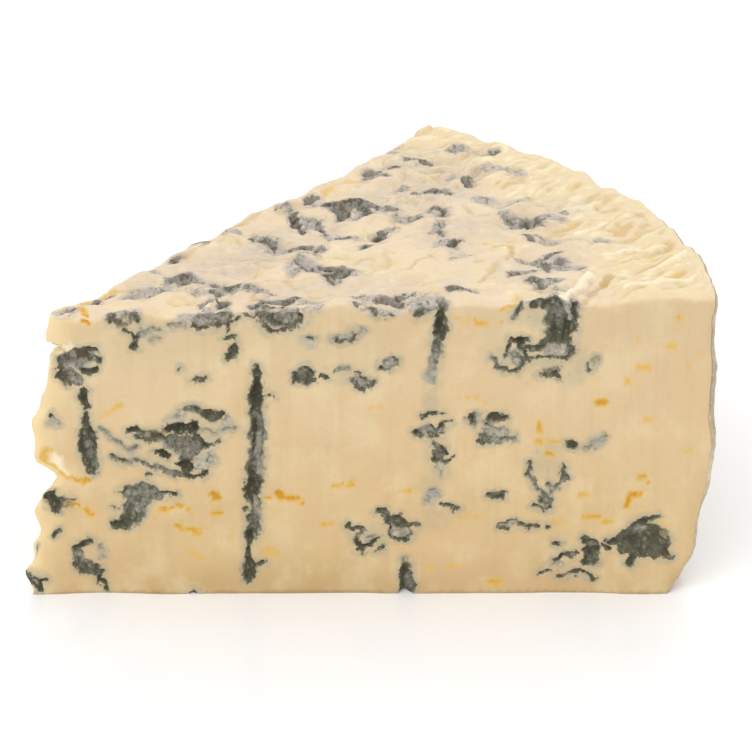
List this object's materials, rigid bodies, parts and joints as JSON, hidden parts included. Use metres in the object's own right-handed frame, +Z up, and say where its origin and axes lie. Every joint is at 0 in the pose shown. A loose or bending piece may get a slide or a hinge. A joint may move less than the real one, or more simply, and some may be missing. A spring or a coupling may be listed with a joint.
{
  "type": "blue cheese wedge",
  "caption": "Wedge of blue cheese from a low round wheel, with a torn open top, mould pockets and needle channels in its cut faces, and a rounded rind side.",
  "frame": {"origin": "middle of the bounding box in plan, on the flat rind face that the wedge stands on", "axes": "+X from the tip to the rind, along the front cut; +Z up through the wheel, from the flat rind to the torn top; the front cut faces -Y"},
  "size_m": [0.1064, 0.082, 0.0506],
  "materials": {
    "cheese": "satin"
  },
  "bodies": {
    "root": {"cheese_wedge": "cheese"}
  },
  "joints": []
}
